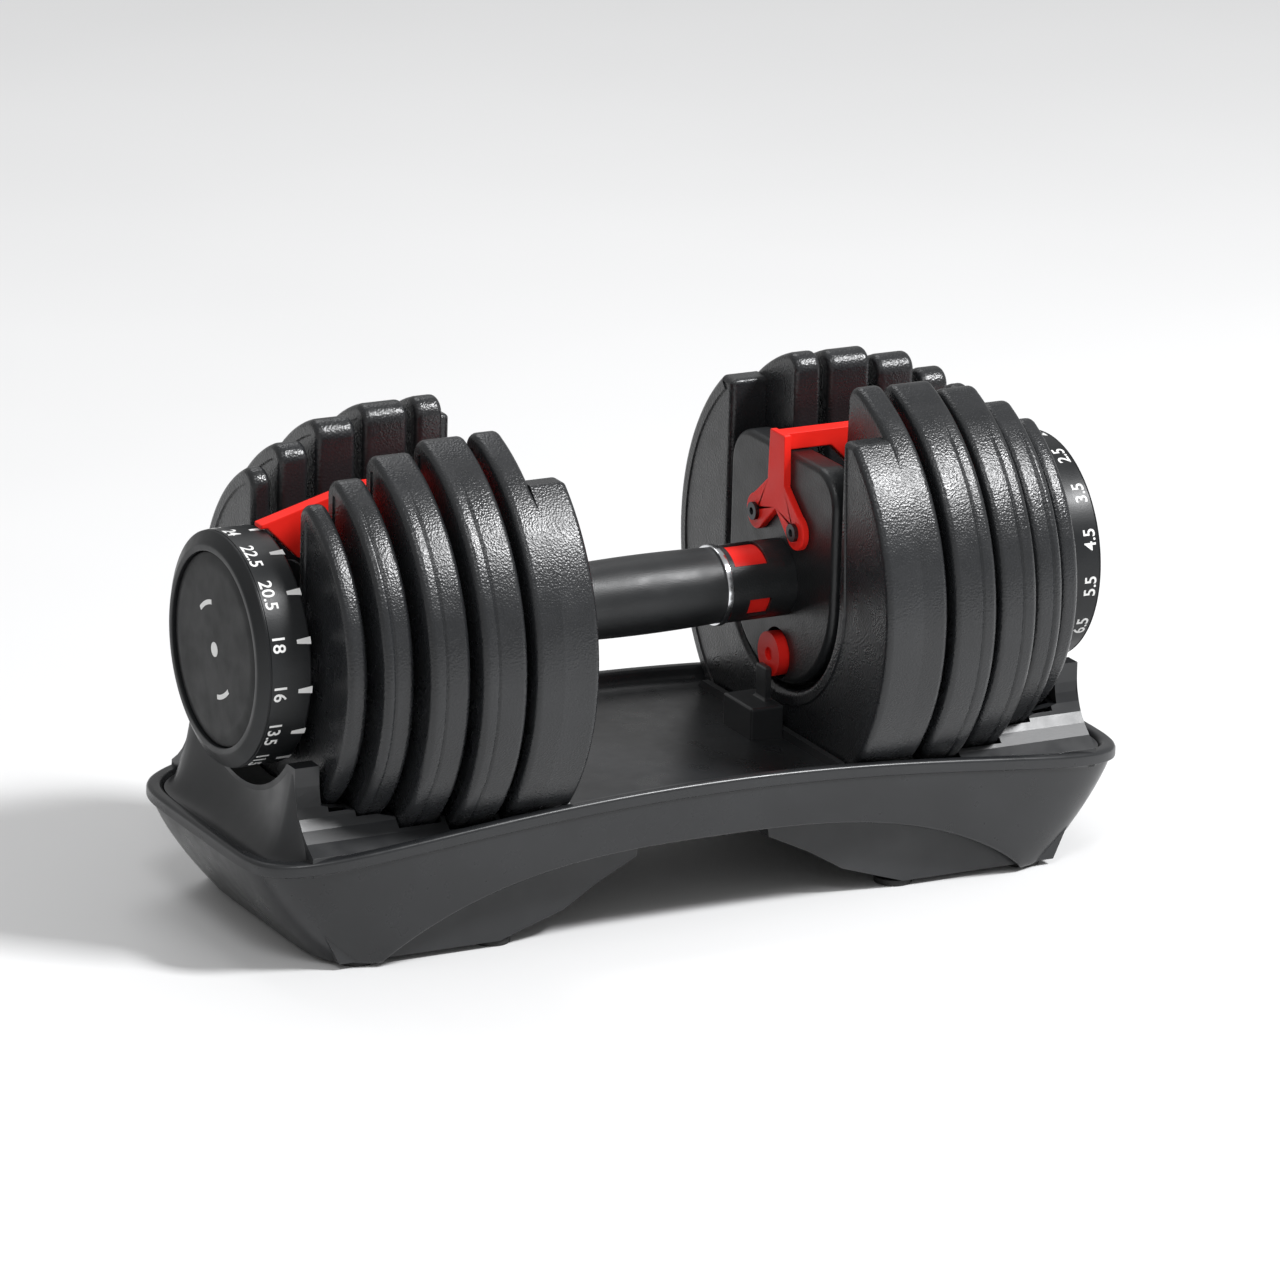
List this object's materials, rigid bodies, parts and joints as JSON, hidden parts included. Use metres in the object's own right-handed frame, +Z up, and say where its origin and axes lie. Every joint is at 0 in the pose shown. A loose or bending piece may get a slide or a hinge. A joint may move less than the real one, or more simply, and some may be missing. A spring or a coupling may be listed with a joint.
{
  "type": "adjustable dumbbell",
  "caption": "Dial-select adjustable dumbbell with slotted weight plates, resting in a moulded storage tray.",
  "frame": {"origin": "centre of the footprint, on the floor", "axes": "+X along the handle, -Y towards the front, +Z up"},
  "size_m": [0.448, 0.205, 0.2337],
  "materials": {
    "tray_plastic": "satin moulded plastic, fine grain",
    "cradle_plastic": "satin moulded plastic",
    "rubber": "matt rubber",
    "screw_steel": "zinc plated",
    "core_steel": "mill finish steel",
    "grip_black": "smooth satin nylon sleeve",
    "collar_chrome": "polished chrome",
    "hub_black": "satin moulded plastic",
    "red_plastic": "semi-gloss red plastic",
    "red_paint": "semi-gloss red powder coat",
    "selector_nylon": "glass-filled nylon",
    "disc_steel": "black oxide steel",
    "cap_black": "satin moulded plastic",
    "dial_black": "satin moulded plastic",
    "plate_black": "grained satin nylon shell over a steel core"
  },
  "bodies": {
    "tray": {"tray_shell": "tray_plastic", "cradle_left": "cradle_plastic", "cradle_right": "cradle_plastic", "release_posts": "cradle_plastic", "rubber_feet": "rubber", "tray_screws": "screw_steel"},
    "handle": {"handle_shaft": "core_steel", "grip_sleeve": "grip_black", "grip_collars": "collar_chrome", "neck_sleeve_left": "hub_black", "neck_sleeve_right": "hub_black", "neck_cores": "red_plastic", "hub_left": "hub_black", "hub_right": "hub_black", "bridge_left": "red_paint", "bridge_right": "red_paint", "bridge_screws": "screw_steel", "lock_spring_left": "screw_steel", "lock_spring_right": "screw_steel", "detent_plungers": "screw_steel", "end_screws": "screw_steel"},
    "dial_left": {"selector_tube_left": "selector_nylon", "selector_disc_left_1": "disc_steel", "selector_disc_left_2": "disc_steel", "selector_disc_left_3": "disc_steel", "selector_disc_left_4": "disc_steel", "selector_disc_left_5": "disc_steel", "dial_left": "dial_black", "dial_cap_left": "cap_black"},
    "lock_pin_left": {"lock_pin_left": "red_plastic"},
    "plate_left_1": {"weight_plate_left_1": "plate_black", "plate_core_left_1": "core_steel"},
    "plate_left_2": {"weight_plate_left_2": "plate_black", "plate_core_left_2": "core_steel"},
    "plate_left_3": {"weight_plate_left_3": "plate_black", "plate_core_left_3": "core_steel"},
    "plate_left_4": {"weight_plate_left_4": "plate_black", "plate_core_left_4": "core_steel"},
    "plate_left_5": {"weight_plate_left_5": "plate_black", "plate_core_left_5": "core_steel"},
    "dial_right": {"selector_tube_right": "selector_nylon", "selector_disc_right_1": "disc_steel", "selector_disc_right_2": "disc_steel", "selector_disc_right_3": "disc_steel", "selector_disc_right_4": "disc_steel", "selector_disc_right_5": "disc_steel", "dial_right": "dial_black", "dial_cap_right": "cap_black"},
    "lock_pin_right": {"lock_pin_right": "red_plastic"},
    "plate_right_1": {"weight_plate_right_1": "plate_black", "plate_core_right_1": "core_steel"},
    "plate_right_2": {"weight_plate_right_2": "plate_black", "plate_core_right_2": "core_steel"},
    "plate_right_3": {"weight_plate_right_3": "plate_black", "plate_core_right_3": "core_steel"},
    "plate_right_4": {"weight_plate_right_4": "plate_black", "plate_core_right_4": "core_steel"},
    "plate_right_5": {"weight_plate_right_5": "plate_black", "plate_core_right_5": "core_steel"}
  },
  "joints": [
    {"name": "handle_lift", "type": "slide", "parent": "tray", "child": "handle", "axis": [0, 0, 1], "range_m": [0, 0.25]},
    {"name": "dial_left_turn", "type": "hinge", "parent": "handle", "child": "dial_left", "pos_m": [-0.2, 0, 0.134], "axis": [1, 0, 0], "continuous": true},
    {"name": "dial_right_turn", "type": "hinge", "parent": "handle", "child": "dial_right", "pos_m": [0.2, 0, 0.134], "axis": [1, 0, 0], "continuous": true},
    {"name": "lock_pin_left_slide", "type": "slide", "parent": "handle", "child": "lock_pin_left", "axis": [1, 0, 0], "range_m": [0, 0.004], "deforming": ["lock_spring_left"]},
    {"name": "lock_pin_right_slide", "type": "slide", "parent": "handle", "child": "lock_pin_right", "axis": [-1, 0, 0], "range_m": [0, 0.004], "deforming": ["lock_spring_right"]},
    {"name": "plate_left_1_lift", "type": "slide", "parent": "tray", "child": "plate_left_1", "axis": [0, 0, 1], "range_m": [0, 0.25]},
    {"name": "plate_left_2_lift", "type": "slide", "parent": "tray", "child": "plate_left_2", "axis": [0, 0, 1], "range_m": [0, 0.25]},
    {"name": "plate_left_3_lift", "type": "slide", "parent": "tray", "child": "plate_left_3", "axis": [0, 0, 1], "range_m": [0, 0.25]},
    {"name": "plate_left_4_lift", "type": "slide", "parent": "tray", "child": "plate_left_4", "axis": [0, 0, 1], "range_m": [0, 0.25]},
    {"name": "plate_left_5_lift", "type": "slide", "parent": "tray", "child": "plate_left_5", "axis": [0, 0, 1], "range_m": [0, 0.25]},
    {"name": "plate_right_1_lift", "type": "slide", "parent": "tray", "child": "plate_right_1", "axis": [0, 0, 1], "range_m": [0, 0.25]},
    {"name": "plate_right_2_lift", "type": "slide", "parent": "tray", "child": "plate_right_2", "axis": [0, 0, 1], "range_m": [0, 0.25]},
    {"name": "plate_right_3_lift", "type": "slide", "parent": "tray", "child": "plate_right_3", "axis": [0, 0, 1], "range_m": [0, 0.25]},
    {"name": "plate_right_4_lift", "type": "slide", "parent": "tray", "child": "plate_right_4", "axis": [0, 0, 1], "range_m": [0, 0.25]},
    {"name": "plate_right_5_lift", "type": "slide", "parent": "tray", "child": "plate_right_5", "axis": [0, 0, 1], "range_m": [0, 0.25]}
  ],
  "couplings": [
    {"joint": "lock_pin_left_slide", "follows": "handle_lift", "ratio": 0.016},
    {"joint": "lock_pin_right_slide", "follows": "handle_lift", "ratio": 0.016},
    {"joint": "plate_left_1_lift", "follows": "handle_lift", "ratio": 1},
    {"joint": "plate_left_2_lift", "follows": "handle_lift", "ratio": 1},
    {"joint": "plate_left_3_lift", "follows": "handle_lift", "ratio": 1},
    {"joint": "plate_left_4_lift", "follows": "handle_lift", "ratio": 1},
    {"joint": "plate_left_5_lift", "follows": "handle_lift", "ratio": 1},
    {"joint": "plate_right_1_lift", "follows": "handle_lift", "ratio": 1},
    {"joint": "plate_right_2_lift", "follows": "handle_lift", "ratio": 1},
    {"joint": "plate_right_3_lift", "follows": "handle_lift", "ratio": 1},
    {"joint": "plate_right_4_lift", "follows": "handle_lift", "ratio": 1},
    {"joint": "plate_right_5_lift", "follows": "handle_lift", "ratio": 1}
  ]
}
